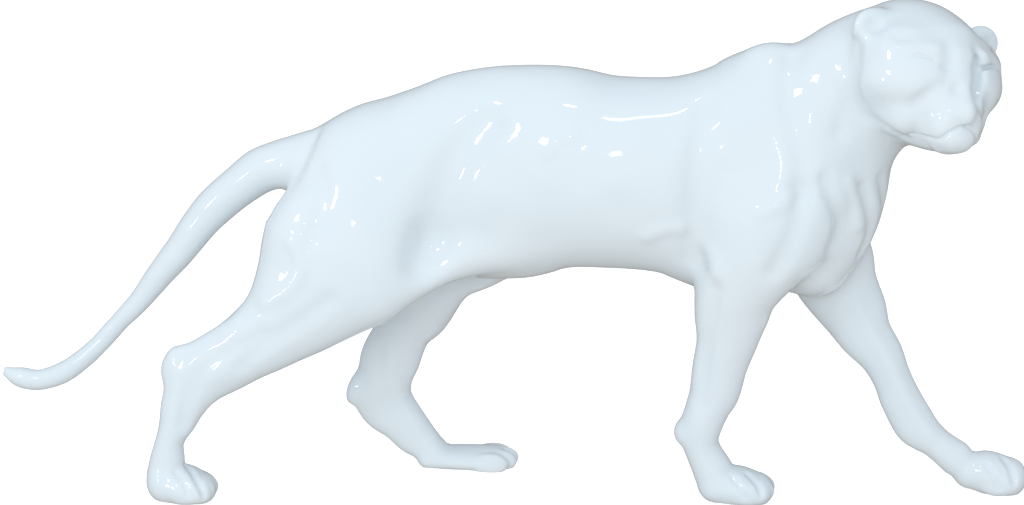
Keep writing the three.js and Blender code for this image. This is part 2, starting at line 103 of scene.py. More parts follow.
class Chain:  # a limb through stations [x, y, z, radius in its own plane, radius to the side]
    def __init__(self, stations, capStart=1, capEnd=1, side=leftward):
        rows = [list(row) + list(row[3:4]) if len(row) == 4 else list(row) for row in stations]
        self.line = smoothLine(rows, figure["steps"])
        self.fine = smoothLine(rows, figure["steps"] * figure["finer"])
        self.strides = np.gradient(self.fine[:, :3], axis=0)
        self.tangents = self.strides / np.linalg.norm(self.strides, axis=1, keepdims=True)
        self.side = side
        self.caps = (capStart, capEnd)
        widest = self.line[:, 3:].max(1)[:, None]
        self.low = (self.line[:, :3] - widest).min(0)
        self.high = (self.line[:, :3] + widest).max(0)

    def nearest(self, points):  # place along the line, counted in stations of the fine line
        best = np.full(len(points), 1e12)
        place = np.zeros(len(points))
        for i, (a, b) in enumerate(zip(self.line[:-1, :3], self.line[1:, :3])):
            step = b - a
            offset = points - a
            t = np.clip(offset @ step / (step @ step), 0, 1)
            gap = ((offset - t[:, None] * step) ** 2).sum(1)
            closer = gap < best
            best[closer] = gap[closer]
            place[closer] = i + t[closer]
        return place * figure["finer"]

    def at(self, table, place):
        index = np.clip(place.astype(int), 0, len(table) - 2)
        part = (place - index)[:, None]
        return table[index] * (1 - part) + table[index + 1] * part

    def distance(self, points):
        place = self.nearest(points)
        last = len(self.fine) - 1
        for _ in range(figure["curveRounds"]):
            row = self.at(self.fine, place)
            tangent = self.at(self.tangents, place)
            stride = np.linalg.norm(self.at(self.strides, place), axis=1)
            ahead = np.einsum("ij,ij->i", points - row[:, :3], tangent) / stride
            place = np.clip(place + ahead * figure["curvePull"], 0, last)
        row = self.at(self.fine, place)
        tangent = self.at(self.tangents, place)
        tangent /= np.linalg.norm(tangent, axis=1, keepdims=True)
        aside = self.side - tangent * (tangent @ self.side)[:, None]
        aside /= np.linalg.norm(aside, axis=1, keepdims=True)
        across = np.cross(tangent, aside)
        offset = points - row[:, :3]
        along, over, beside = [np.einsum("ij,ij->i", offset, axis) for axis in (tangent, across, aside)]
        cap = np.where(place <= 0, self.caps[0], np.where(place >= last, self.caps[1], 1))
        return ovalDistance(along, over, beside, row[:, 3] * cap, row[:, 3], row[:, 4])


class Egg:  # a muscle or bone with radii along, across and to the side
    def __init__(self, centre, radii, axis=(1, 0, 0), side=leftward):
        self.centre = np.asarray(centre, float)
        self.radii = np.asarray(radii, float)
        along = unitOf(axis)
        aside = unitOf(side - along * (along @ side))
        self.axes = np.array([along, np.cross(along, aside), aside])
        half = np.sqrt(((self.axes * self.radii[:, None]) ** 2).sum(0))
        self.low = self.centre - half
        self.high = self.centre + half

    def distance(self, points):
        return ovalDistance(*((points - self.centre) @ self.axes.T).T, *self.radii)


def muscle(start, end, thick, wide):
    start, end = np.asarray(start, float), np.asarray(end, float)
    return Egg((start + end) / 2, (np.linalg.norm(end - start) / 2, thick, wide), end - start)


class Cluster:  # forms melted together, each with the width of its own join
    def __init__(self, join):
        self.join = join
        self.items = []

    def add(self, form, width=10):
        self.items.append((form, width, False))
        return self

    def carve(self, form, width):
        self.items.append((form, width, True))
        return self

    def box(self):
        solid = [form for form, _, hollow in self.items if not hollow]
        return np.min([form.low for form in solid], 0), np.max([form.high for form in solid], 0)

    def blend(self, value, points, items):
        for form, width, hollow in items:
            margin = width + figure["formReach"]
            near = ((points > form.low - margin) & (points < form.high + margin)).all(1)
            if near.any():
                value[near] = melt(value[near], form.distance(points[near]), width, hollow)
        return value

    def distance(self, points):
        return self.blend(self.items[0][0].distance(points), points, self.items[1:])


trunk = {
    "body": [
        [-201, 0, 324, 32, 33],
        [-170, 0, 323, 55, 50],
        [-115, 0, 320, 81, 58],
        [-60, 0, 319, 101, 59],
        [-5, 0, 322, 107, 65],
        [45, 0, 328, 103, 71],
        [97, 0, 325, 96, 74],
        [155, 0, 322, 98, 72],
        [200, 0, 317, 108, 66],
        [250, 0, 320, 118, 60],
        [290, 0, 318, 106, 54],
    ],
    "neck": [
        [215, 0, 345, 84, 58],
        [265, 0, 368, 86, 57],
        [310, -4, 390, 76, 54],
        [345, -12, 418, 70, 54],
        [382, -22, 438, 65, 56],
    ],
    "breast": [
        [316, -2, 388, 47, 46],
        [329, 0, 326, 42, 46],
        [321, 0, 277, 39, 44],
        [302, 0, 238, 34, 42],
    ],
    "withers": ([252, -16, 436], [26, 20, 16]),
    "flatChest": 0.45,   # roundness of the chain's end
    "flatNape": 0.8,
    "join": 1,
    "joins": {"neck": 30, "breast": 30, "withers": 24},  # width of each blend
}


def makeTrunk():
    joins = trunk["joins"]
    body = Cluster(trunk["join"]).add(Chain(trunk["body"], 1, trunk["flatChest"]))
    body.add(Chain(trunk["neck"], 1, trunk["flatNape"]), joins["neck"])
    body.add(Chain(trunk["breast"]), joins["breast"])
    return body.add(Egg(*trunk["withers"]), joins["withers"])


tail = {
    "stations": [
        [-165, 0, 345, 27],
        [-190, 0, 340, 25],
        [-212, 0, 334, 24],
        [-232, 0, 328, 24],
        [-253, 0, 320, 23],
        [-274, 0, 305, 21],
        [-295, 0, 287, 20],
        [-316, 0, 264, 18],
        [-336, 0, 237, 16],
        [-358, 0, 211, 14],
        [-379, 0, 184, 11.4],
        [-401, 0, 161, 9.8],
        [-422, 0, 138, 9.5],
        [-444, 0, 118, 10],
        [-465, 0, 104, 10.9],
        [-487, 0, 97, 10.8],
        [-507, 0, 100, 10.2],
        [-521, 0, 105, 5],
    ],
    "join": 14,
}


def makeTail():
    return Cluster(tail["join"]).add(Chain(tail["stations"]))


toes = {
    "across": [-0.75, -0.27, 0.27, 0.75],  # places across the paw, as parts of its half width
    "back": [9, 1, 0, 7],                  # how far each toe falls behind the longest
    "radii": [19, 12, 8.2],
    "inset": 15.2,                         # from the tip of the longest toe to its middle
    "join": 3,
}


def addToes(cluster, tip, halfWidth, height):
    for across, back in zip(toes["across"], toes["back"]):
        centre = [tip[0] - toes["inset"] - back, tip[1] + across * halfWidth, height]
        cluster.add(Egg(centre, toes["radii"]), toes["join"])
    return cluster


hindRight = {
    "leg": [
        [-140, -20, 334, 50, 26],
        [-150, -34, 302, 63, 34],
        [-161, -42, 270, 70, 38],
        [-173, -48, 240, 75, 39],
        [-200, -55, 205, 60, 35],
        [-231, -60, 175, 42, 29],
        [-266, -64, 151, 33, 25],
        [-296, -66, 132, 31, 21],
        [-313, -67, 114, 27, 18],
        [-323, -67, 96, 23, 17],
        [-330, -67, 78, 19, 16],
        [-338, -67, 58, 15, 15],
        [-341, -67, 40, 17, 15],
        [-344, -66, 24, 18, 18],
    ],
    "haunch": ([-122, -46, 300], [-165, -56, 180], 50, 27),
    "seat": ([-188, -44, 308], [-222, -56, 230], 30, 27),
    "flankFold": [
        [-128, -52, 214, 26, 22],
        [-96, -46, 228, 24, 20],
        [-62, -40, 240, 20, 18],
        [-28, -35, 252, 20, 18],
        [8, -31, 262, 20, 16],
    ],
    "flankHollow": [
        [4, -63, 392, 20, 14],
        [-30, -68, 366, 24, 17],
        [-52, -75, 332, 26, 20],
        [-62, -78, 296, 26, 20],
        [-74, -81, 262, 22, 17],
    ],
    "hock": ([-330, -66, 134], [20, 14, 12], [0.35, 0, 1]),
    "paw": [
        [-343, -66, 12, 20, 22],
        [-324, -66, 10, 20, 27],
        [-308, -66, 7, 15, 25],
    ],
    "toes": ([-296, -66], 25, 8),  # tip of the longest, half the paw's width, height
    "join": 28,
    "joins": {"haunch": 25, "seat": 25, "flankFold": 26, "flankHollow": 20, "hock": 14, "paw": 8},
}


def makeHindRight():
    joins = hindRight["joins"]
    leg = Cluster(hindRight["join"]).add(Chain(hindRight["leg"]))
    for key in ("haunch", "seat"):
        leg.add(muscle(*hindRight[key]), joins[key])
    leg.add(Chain(hindRight["flankFold"]), joins["flankFold"])
    leg.carve(Chain(hindRight["flankHollow"]), joins["flankHollow"])
    leg.add(Egg(*hindRight["hock"]), joins["hock"]).add(Chain(hindRight["paw"]), joins["paw"])
    return addToes(leg, *hindRight["toes"])


hindLeft = {
    "leg": [
        [-134, 18, 334, 48, 24],
        [-131, 32, 300, 60, 34],
        [-126, 41, 268, 60, 38],
        [-114, 48, 236, 56, 38],
        [-101, 55, 200, 48, 35],
        [-101, 60, 168, 37, 30],
        [-117, 62, 142, 29, 25],
        [-132, 63, 110, 31, 20],
        [-138, 63, 85, 28, 19],
        [-138, 63, 64, 31, 17],
        [-120, 63, 43, 24, 16],
        [-105, 63, 26, 21, 16],
        [-88, 63, 12, 15, 18],
    ],
    "hock": ([-169, 63, 77], [17, 8, 11], [0.35, 0, 1]),
    "flankFold": [
        [14, 30, 240, 18, 18],
        [-30, 38, 220, 24, 20],
        [-61, 46, 203, 23, 20],
        [-84, 52, 178, 20, 20],
    ],
    "paw": [
        [-92, 63, 4, 12, 20],
        [-50, 63, 4, 12, 25],
        [-22, 63, 4, 12, 25],
        [-14, 63, 3, 9, 22],
    ],
    "toes": ([-3, 63], 24, 3),
    "join": 28,
    "joins": {"flankFold": 18, "hock": 16, "paw": 8},
}


def makeHindLeft():
    joins = hindLeft["joins"]
    leg = Cluster(hindLeft["join"]).add(Chain(hindLeft["leg"]))
    leg.add(Chain(hindLeft["flankFold"]), joins["flankFold"])
    leg.add(Egg(*hindLeft["hock"]), joins["hock"]).add(Chain(hindLeft["paw"]), joins["paw"])
    return addToes(leg, *hindLeft["toes"])


foreRight = {
    "leg": [
        [262, -33, 385, 54, 22],
        [272, -46, 330, 56, 30],
        [255, -50, 285, 60, 34],
        [238, -47, 250, 50, 34],
        [224, -43, 217, 41, 30],
        [219, -39, 190, 36, 26],
        [215, -36, 163, 30, 23],
        [209, -33, 137, 27, 21],
        [205, -30, 111, 25, 20],
        [198, -28, 92, 22, 20],
        [191, -27, 68, 20, 19],
        [193, -26, 50, 18, 18],
        [204, -25, 28, 20, 20],
    ],
    "wrist": ([177, -27, 66], [13, 12, 12], [0, 0, 1]),
    "paw": [
        [210, -25, 12, 20, 22],
        [230, -24, 10, 20, 27],
        [249, -24, 7, 16, 26],
    ],
    "toes": ([263, -24], 26, 8),
    "join": 30,
    "joins": {"wrist": 10, "paw": 8},
}


def makeForeRight():
    joins = foreRight["joins"]
    leg = Cluster(foreRight["join"]).add(Chain(foreRight["leg"]))
    leg.add(Egg(*foreRight["wrist"]), joins["wrist"]).add(Chain(foreRight["paw"]), joins["paw"])
    return addToes(leg, *foreRight["toes"])


foreLeft = {
    "leg": [
        [262, 32, 390, 50, 22],
        [283, 46, 330, 56, 30],
        [294, 46, 285, 46, 34],
        [304, 44, 258, 45, 33],
        [316, 42, 232, 45, 32],
        [327, 40, 204, 40, 30],
        [343, 38, 177, 34, 26],
        [355, 36, 155, 28, 23],
        [371, 34, 134, 23, 21],
        [383, 32, 110, 20, 19],
        [394, 30, 86, 21, 18],
        [409, 28, 61, 21, 18],
        [429, 27, 45, 16, 18],
        [450, 26, 29, 18, 19],
    ],
    "paw": [
        [465, 25, 16, 18, 21],
        [481, 25, 15, 22, 27],
        [502, 25, 10, 20, 26],
    ],
    "toes": ([516, 25], 26, 8),
    "join": 30,
    "joins": {"paw": 8},
}


def makeForeLeft():
    leg = Cluster(foreLeft["join"]).add(Chain(foreLeft["leg"]))
    leg.add(Chain(foreLeft["paw"]), foreLeft["joins"]["paw"])
    return addToes(leg, *foreLeft["toes"])


head = {
    "centre": [402, -35, 437],
    "turn": 57,   # to its right, in degrees
    "dip": -3,    # nose down
    "tilt": -11,  # left side down
    "join": 30,
}


def headAxes():
    turn, dip, tilt = [math.radians(head[key]) for key in ("turn", "dip", "tilt")]
    forward = np.array([
        math.cos(turn) * math.cos(dip),
        -math.sin(turn) * math.cos(dip),
        -math.sin(dip),
    ])
    level = np.array([math.sin(turn), math.cos(turn), 0])
    upright = np.cross(forward, level)
    left = math.cos(tilt) * level + math.sin(tilt) * upright
    return np.array([forward, left, np.cross(forward, left)])


headFrame = headAxes()


def inHead(place):  # a place given as forward, left and up of the head's centre
    return np.asarray(head["centre"]) + np.asarray(place, float) @ headFrame


def headEgg(place, radii, axis=(1, 0, 0)):
    return Egg(inHead(place), radii, np.asarray(axis, float) @ headFrame, headFrame[1])


def headChain(rows, capEnd=1, capStart=1):
    stations = [list(inHead(row[:3])) + list(row[3:]) for row in rows]
    return Chain(stations, capStart, capEnd, headFrame[1])


skinSearch = {
    "rounds": 6,
    "nudge": 1,     # millimetres to each side, to feel the slope
    "stride": 4,    # longest move in one round
}


def onSkin(cluster, place, lift):  # the nearest place on a cluster's skin, lifted off it
    place = np.asarray(place, float)
    nudges = skinSearch["nudge"] * np.vstack([np.eye(3), -np.eye(3)])
    for _ in range(skinSearch["rounds"]):
        depths = cluster.distance(np.vstack([place + nudges, place]))
        slope = unitOf(depths[:3] - depths[3:6])
        place = place - slope * np.clip(depths[6], -skinSearch["stride"], skinSearch["stride"])
    return place + slope * lift


def engrave(cluster, rows, depth, width, side=leftward):  # rows of place and radius near the skin
    stations = [list(onSkin(cluster, row[:3], row[3] - depth)) + [row[3]] for row in rows]
    cluster.carve(Chain(stations, 1, 1, side), width)


def raiseWelt(cluster, rows, height, width, side=leftward):
    stations = [list(onSkin(cluster, row[:3], height - row[3])) + [row[3]] for row in rows]
    cluster.add(Chain(stations, 1, 1, side), width)


face = {
    # forward, left, up of the head's centre, then radii
    "skull": [
        [-54, 0, 10, 44, 40],
        [-26, 0, 6, 58, 56],
        [6, 0, -2, 53, 60],
        [30, 0, -20, 38, 50],
        [46, 0, -34, 23, 35],
        [56, 0, -43, 19, 25],
    ],
    "skullEnds": 0.7,   # roundness of the chain's ends
    "bridge": [[20, 0, 26, 20, 26], [37, 0, 8, 14, 14], [51, 0, -14, 12, 10], [61, 0, -29, 10, 9]],
    "bridgeEnd": 0.8,
    "jaw": [[-10, 0, -42, 28, 40], [20, 0, -53, 23, 32], [44, 0, -61, 15, 20]],
    "nose": ([66, 0, -35], [9, 10, 8]),
    "leftJowl": ([29, 30, -55], [20, 13, 14]),
    "leftHollow": [[43, 17, 17, 4], [47, 16, 7, 7], [53, 16, -9, 7.5], [59, 15, -22, 4.5]],
    # these lie at both sides of the face
    "cheek": ([0, 29, -12], [50, 35, 50]),
    "temple": ([4, 46, 14], [30, 22, 26]),
    "cheekbone": ([28, 34, -10], [14, 18, 16]),
    "jowl": ([16, 34, -43], [26, 22, 23]),
    "brow": [[44, 9, 17, 8, 8], [38, 26, 22, 9, 9], [27, 42, 23, 9, 9]],
    "pad": ([42, 15, -48], [24, 17, 16]),
    "chin": ([56, 5, -59], [14, 13, 14]),
    "ear": ([-10, 66, 33], [9, 17, 20]),
    "earFoot": ([-6, 65, 15], [9, 15, 11]),
    "earCup": ([3, 73, 34], [7, 9, 12]),
    "nostril": ([77, 6, -35], [3, 2.5, 2.5]),
    "joins": {
        "cheek": 24, "temple": 20, "cheekbone": 16, "jowl": 16, "brow": 14, "bridge": 14, "jaw": 14,
        "pad": 10, "leftJowl": 14, "nose": 7, "chin": 12, "ear": 10, "earFoot": 12, "earCup": 9,
        "nostril": 2, "leftHollow": 12,
    },
}

faceMarks = {
    # depth, width of the blend, then places near the skin with the radius of the tool
    "lidFold": (2.3, 14, [
        [22, 56, 24, 10], [32, 43, 28, 12], [42, 28, 29, 12],
        [46, 19, 24, 9], [47, 16, 13, 8], [44, 17, 3, 6],
    ]),
    "lidSlit": (1.6, 2, [[31, 47, 8, 1.4], [34, 41, 8.5, 2.2], [36, 35, 8, 2.0], [38, 30, 6.5, 1.4]]),
    "padFold": (1.6, 9, [[34, 33, -23, 8], [42, 25, -17, 9], [50, 18, -12, 9], [56, 11, -13, 6]]),
    "lip": (1.8, 2.5, [
        [66, 0, -44, 2.4], [64, 7, -47, 2.4], [61, 13, -54, 2.4],
        [58, 19, -61, 2.4], [46, 27, -64, 2.6], [33, 33, -65, 3],
    ]),
    "leftLid": (2.0, 3, [[48, 20, 6, 1.5], [43, 28, 8, 2.5], [35, 40, 8, 2.5], [26, 51, 7, 1.5]]),
}


def makeHead():
    joins = face["joins"]
    skull = Cluster(head["join"]).add(headChain(face["skull"], face["skullEnds"], face["skullEnds"]))

    def mirrored(place, side):
        return [place[0], side * place[1]] + list(place[2:])

    def addPair(side, *keys):
        for key in keys:
            skull.add(headEgg(mirrored(face[key][0], side), face[key][1]), joins[key])

    def carvePair(side, key):
        skull.carve(headEgg(mirrored(face[key][0], side), face[key][1]), joins[key])

    def mark(side, key):
        depth, width, rows = faceMarks[key]
        rows = [list(inHead(mirrored(row[:3], side))) + [row[3]] for row in rows]
        engrave(skull, rows, depth, width, headFrame[1])

    for side in (-1, 1):
        addPair(side, "cheek", "temple", "cheekbone", "jowl")
        skull.add(headChain([mirrored(row, side) for row in face["brow"]]), joins["brow"])
    skull.add(headChain(face["bridge"], face["bridgeEnd"]), joins["bridge"])
    skull.add(headChain(face["jaw"]), joins["jaw"])
    for side in (-1, 1):
        addPair(side, "pad")
    for key in ("leftJowl", "nose"):
        skull.add(headEgg(*face[key]), joins[key])
    for side in (-1, 1):
        addPair(side, "chin")
    for side in (-1, 1):
        addPair(side, "ear", "earFoot")
        carvePair(side, "earCup")
        for key in ("lidFold", "lidSlit", "padFold", "lip"):
            mark(side, key)
        carvePair(side, "nostril")
    skull.carve(headChain(face["leftHollow"]), joins["leftHollow"])
    mark(1, "leftLid")
    return skull


legs = [makeHindRight(), makeHindLeft(), makeForeRight(), makeForeLeft()]
clusters = [makeTrunk(), makeTail(), *legs, makeHead()]
print("forms laid out,", sum(len(cluster.items) for cluster in clusters))


class Figure(Cluster):  # all the clusters together, and the marks worked into their skin
    def distance(self, points):  # below zero inside
        value = np.full(len(points), figure["outside"])
        for cluster in clusters:
            low, high = cluster.box()
            margin = cluster.join + figure["clusterReach"]
            near = ((points > low - margin) & (points < high + margin)).all(1)
            if near.any():
                value[near] = softUnion(value[near], cluster.distance(points[near]), cluster.join)
        return self.blend(value, points, self.items)


grooves = {
    # depth, width of the blend, then places as above
    "shoulderBack": (1.4, 16, [
        [191, -48, 399, 12], [186, -60, 375, 12], [182, -68, 347, 12], [181, -69, 313, 12],
        [183, -64, 280, 12], [187, -57, 249, 12],
    ]),
    "neckBase": (1.8, 14, [
        [270, -34, 447, 10], [268, -49, 426, 11], [271, -58, 402, 11], [277, -65, 377, 11],
        [283, -71, 353, 11], [282, -77, 328, 11],
    ]),
    "neckCord": (1.2, 12, [
        [322, -57, 457, 9], [325, -68, 434, 9], [324, -63, 408, 9], [319, -61, 382, 9],
    ]),
    "armFront": (2.4, 14, [
        [283, -77, 325, 11], [280, -80, 296, 11], [271, -82, 271, 11], [259, -79, 246, 10],
    ]),
    "breastHollow": (3.4, 10, [
        [305, -70, 335, 9], [315, -67, 313, 9], [321, -58, 290, 9], [315, -55, 267, 9],
    ]),
    "breastFold": (3.0, 8, [
        [341, -46, 323, 7], [349, -38, 301, 7], [353, -28, 275, 7], [346, -22, 251, 7],
    ]),
    "throatFold": (1.6, 8, [[360, -33, 330, 6], [366, -18, 305, 6]]),
    "thighLine": (0.8, 12, [
        [-186, -50, 335, 8], [-179, -65, 316, 8], [-182, -74, 293, 8], [-188, -81, 270, 8],
    ]),
    "heelHollow": (2.2, 12, [
        [-239, -88, 175, 9], [-265, -88, 160, 9], [-289, -87, 146, 9], [-306, -86, 129, 8],
        [-317, -85, 105, 8], [-322, -82, 79, 7],
    ]),
    "shinLine": (1.2, 12, [
        [-171, -88, 211, 9], [-201, -89, 189, 9], [-233, -88, 166, 9], [-262, -88, 142, 8],
    ]),
    "tailRoot": (1.1, 8, [
        [-192, -19, 362, 6], [-198, -29, 348, 6], [-205, -36, 334, 6], [-211, -44, 319, 6],
    ]),
    "armLine": (1.4, 10, [
        [204, -69, 224, 8], [200, -61, 192, 8], [196, -53, 159, 8], [194, -49, 127, 7], [193, -47, 101, 7],
    ]),
    "jawEdge": (1.4, 10, [
        [335, -67, 463, 8], [331, -74, 444, 8], [331, -73, 423, 8], [338, -68, 405, 8],
        [348, -68, 394, 7], [363, -83, 388, 6], [377, -78, 380, 6],
    ]),
    "haunchFront": (5.0, 24, [
        [-20, -52, 383, 20], [-44, -56, 356, 22], [-59, -59, 327, 22], [-65, -57, 296, 22],
        [-73, -51, 265, 20], [-85, -64, 239, 16],
    ]),
    "rightHindToes": (2.4, 4, [
        [-322, -67, 31, 4], [-313, -78, 24, 4], [-305, -87, 16, 4], [-301, -88, 6, 4],
    ]),
    "rightHindSide": (1.6, 4, [[-330, -82, 27, 4], [-321, -89, 19, 4], [-316, -93, 8, 4]]),
    "rightForeToes": (2.0, 4, [[239, -35, 26, 4], [248, -44, 19, 4], [253, -49, 9, 4]]),
    "rightForeSide": (1.5, 4, [[224, -43, 24, 4], [232, -50, 16, 4], [237, -51, 7, 4]]),
    "leftForeToes": (2.0, 4, [[497, 18, 32, 4], [504, 6, 24, 4], [507, 0, 11, 4]]),
    "leftForeSide": (1.5, 4, [[478, 5, 29, 4], [486, -1, 19, 4], [491, -2, 7, 4]]),
    "leftHaunchFront": (4.0, 24, [
        [-20, 52, 383, 20], [-44, 56, 356, 22], [-59, 59, 327, 22], [-62, 58, 300, 20],
    ]),
    "leftShoulderBack": (2.0, 16, [
        [191, 48, 399, 12], [184, 64, 361, 12], [181, 69, 313, 12], [187, 57, 249, 12],
    ]),
    "leftNeckBase": (1.8, 14, [
        [270, 34, 447, 10], [270, 54, 414, 11], [277, 65, 377, 11], [282, 77, 328, 11],
    ]),
    "leftTailRoot": (1.6, 8, [[-192, 19, 362, 6], [-198, 29, 348, 6], [-205, 36, 334, 6]]),
}

ridges = {
    # height, width of the blend, then places as above
    "breastRidge": (2.0, 8, [[330, -56, 331, 6], [337, -47, 308, 6], [340, -41, 284, 6]]),
    "thighRidge": (1.8, 9, [
        [-208, -80, 266, 7], [-200, -85, 250, 7], [-202, -87, 234, 7], [-214, -88, 218, 7],
        [-237, -84, 205, 6],
    ]),
    "heel": (1.0, 8, [[-266, -78, 185, 7], [-289, -73, 172, 7], [-312, -71, 160, 7], [-330, -72, 151, 7]]),
    "elbow": (1.2, 10, [[191, -64, 267, 9], [199, -68, 256, 9], [205, -71, 243, 9]]),
    "farArmLine": (1.2, 8, [
        [344, 12, 196, 7], [356, 14, 170, 7], [373, 14, 142, 7], [388, 14, 113, 7],
        [403, 13, 84, 7], [422, 10, 56, 7],
    ]),
    "farShin": (1.0, 8, [[-131, 41, 125, 7], [-128, 45, 94, 7], [-117, 51, 65, 7], [-100, 50, 39, 7]]),
    "shoulderTop": (1.3, 8, [[246, -82, 305, 7], [261, -81, 311, 7], [277, -79, 321, 7]]),
    "ribs": (1.0, 10, [[137, -63, 275, 8], [151, -66, 282, 8], [168, -65, 284, 8]]),
    "loin": (0.8, 12, [[40, -67, 360, 8], [48, -64, 371, 8], [63, -64, 374, 8]]),
}

whole = Figure(0)
for depth, width, rows in grooves.values():
    engrave(whole, rows, depth, width)
for height, width, rows in ridges.values():
    raiseWelt(whole, rows, height, width)
print("marks worked in,", len(whole.items))


def sampleBlock():
    boxes = [cluster.box() for cluster in clusters]
    spacing = figure["spacing"]
    low = np.min([box[0] for box in boxes], 0) - figure["padding"] * spacing
    high = np.max([box[1] for box in boxes], 0) + figure["padding"] * spacing
    low[2] = figure["ground"] - figure["under"] * spacing
    counts = np.ceil((high - low) / spacing).astype(int) + 1
    values = np.full(counts, figure["outside"])

    def meltIn(form, formLow, formHigh, width, margin, hollow=False):
        start = np.clip(np.floor((formLow - margin - low) / spacing).astype(int), 0, counts)
        stop = np.clip(np.ceil((formHigh + margin - low) / spacing).astype(int) + 1, 0, counts)
        axes = [low[k] + spacing * np.arange(start[k], stop[k]) for k in range(3)]
        points = np.stack(np.meshgrid(*axes, indexing="ij"), -1).reshape(-1, 3)
        block = tuple(slice(a, b) for a, b in zip(start, stop))
        own = form.distance(points).reshape(values[block].shape)
        values[block] = melt(values[block], own, width, hollow)

    for cluster in clusters:
        meltIn(cluster, *cluster.box(), cluster.join, cluster.join + figure["clusterReach"])
    for form, width, hollow in whole.items:
        meltIn(form, form.low, form.high, width, width + figure["formReach"], hollow)
    levels = low[2] + spacing * np.arange(counts[2])
    return np.maximum(values, figure["ground"] - levels), low


def netSkin(values, low):  # one point in each crossed cell and one quad round each crossed edge
    inside = values < 0
    counts = np.array(values.shape)
    corners = [(a, b, c) for a in (0, 1) for b in (0, 1) for c in (0, 1)]
    filled = np.zeros(counts - 1, int)
    for corner in corners:
        filled += inside[tuple(slice(first, first + count - 1) for first, count in zip(corner, counts))]
    crossed = (filled > 0) & (filled < len(corners))
    cells = np.argwhere(crossed)
    number = np.full(counts - 1, -1)
    number[crossed] = np.arange(len(cells))
    total = np.zeros((len(cells), 3))
    hits = np.zeros(len(cells))
    for corner in corners:
        for axis in range(3):
            if corner[axis]:
                continue
            end = [1 if k == axis else corner[k] for k in range(3)]
            a = values[tuple((cells + corner).T)]
            b = values[tuple((cells + end).T)]
            cross = (a < 0) != (b < 0)
            place = np.tile(np.array(corner, float), (len(cells), 1))
            place[:, axis] = np.where(cross, a / np.where(cross, a - b, 1), 0)
            total += place * cross[:, None]
            hits += cross
    points = low + figure["spacing"] * (cells + total / hits[:, None])
    quads = []
    for axis in range(3):
        u, v = np.eye(3, dtype=int)[(axis + 1) % 3], np.eye(3, dtype=int)[(axis + 2) % 3]
        before = np.take(inside, range(counts[axis] - 1), axis)
        after = np.take(inside, range(1, counts[axis]), axis)
        edges = np.argwhere(before != after)
        ring = [number[tuple((edges - back).T)] for back in (u + v, v, 0 * u, u)]
        quad = np.stack(ring, 1)
        turned = ~before[tuple(edges.T)]
        quad[turned] = quad[turned][:, ::-1]
        quads.append(quad)
    return points, np.vstack(quads)


values, blockLow = sampleBlock()
points, quads = netSkin(values, blockLow)
print("rough skin", len(points), "points", len(quads), "quads")

fineAreas = {
    # places in the figure's millimetres, radius, and how many times the faces there are halved
    "headFront": (inHead([30, 0, -8]), 84, 1),
    "face": (inHead([60, 0, -20]), 62, 2),
    "rightEar": (inHead([-6, -66, 34]), 24, 2),
    "leftEar": (inHead([-6, 66, 34]), 24, 2),
    "rightHindPaw": (np.array([-318, -66, 6]), 34, 1),
    "leftHindPaw": (np.array([-20, 63, 2]), 34, 1),
    "rightForePaw": (np.array([240, -24, 6]), 36, 1),
    "leftForePaw": (np.array([492, 25, 6]), 36, 1),
}


def refine(mesh):  # halves the faces where the small forms are
    for level in (1, 2):
        picked = set()
        for centre, radius, halvings in fineAreas.values():
            if halvings < level:
                continue
            for quad in mesh.faces:
                offset = np.array(quad.calc_center_median()) - centre
                if offset @ offset < radius ** 2:
                    picked.update(quad.edges)
        bmesh.ops.subdivide_edges(mesh, edges=list(picked), cuts=1, use_grid_fill=True)


settling = {
    "feel": 0.4,        # millimetres to each side, to feel the slope
    "longest": 3,       # a point's longest move in one round
    "gentlest": 0.05,   # a slope taken as no flatter than this, squared
}


def settle(places, rounds):  # moves points onto the skin, and keeps the soles flat
    places = places.copy()
    shifts = np.array([[1, -1, -1], [-1, -1, 1], [-1, 1, -1], [1, 1, 1]], float)
    for _ in range(rounds):
        depths = [whole.distance(places + shift * settling["feel"]) for shift in shifts]
        slope = sum(shift * depth[:, None] for shift, depth in zip(shifts, depths)) / (4 * settling["feel"])
        depth = sum(depths) / 4
        move = depth[:, None] * slope / np.maximum((slope ** 2).sum(1), settling["gentlest"])[:, None]
        length = np.linalg.norm(move, axis=1, keepdims=True)
        places -= move * np.minimum(1, settling["longest"] / np.maximum(length, 1e-6))
        places[:, 2] = np.maximum(places[:, 2], figure["ground"])
    return places


def relax(places, edges, rounds, pull):  # evens out the spacing of the points
    counts = np.bincount(edges.ravel(), minlength=len(places))[:, None]
    for _ in range(rounds):
        total = np.zeros_like(places)
        np.add.at(total, edges[:, 0], places[edges[:, 1]])
        np.add.at(total, edges[:, 1], places[edges[:, 0]])
        places = places + pull * (total / counts - places)
        places[:, 2] = np.maximum(places[:, 2], figure["ground"])
    return places


handWork = {
    "seed": 5,
    "waves": 30,
    "length": 15.3,   # millimetres for each radian of a wave
    "height": 0.34,
    "soleFade": 10,   # millimetres above the soles where it has its full height
}


def handFinish(places, normals):  # the slight unevenness of a hand-rubbed cast
    draw = np.random.default_rng(handWork["seed"])
    value = np.zeros(len(places))
    for _ in range(handWork["waves"]):
        wave = draw.normal(size=3) / handWork["length"]
        value += np.sin(places @ wave + draw.uniform(0, 2 * np.pi))
    height = handWork["height"] * value / np.sqrt(handWork["waves"] / 2)
    fade = np.clip((places[:, 2] - figure["ground"]) / handWork["soleFade"], 0, 1)
    return places + normals * (height * fade)[:, None]


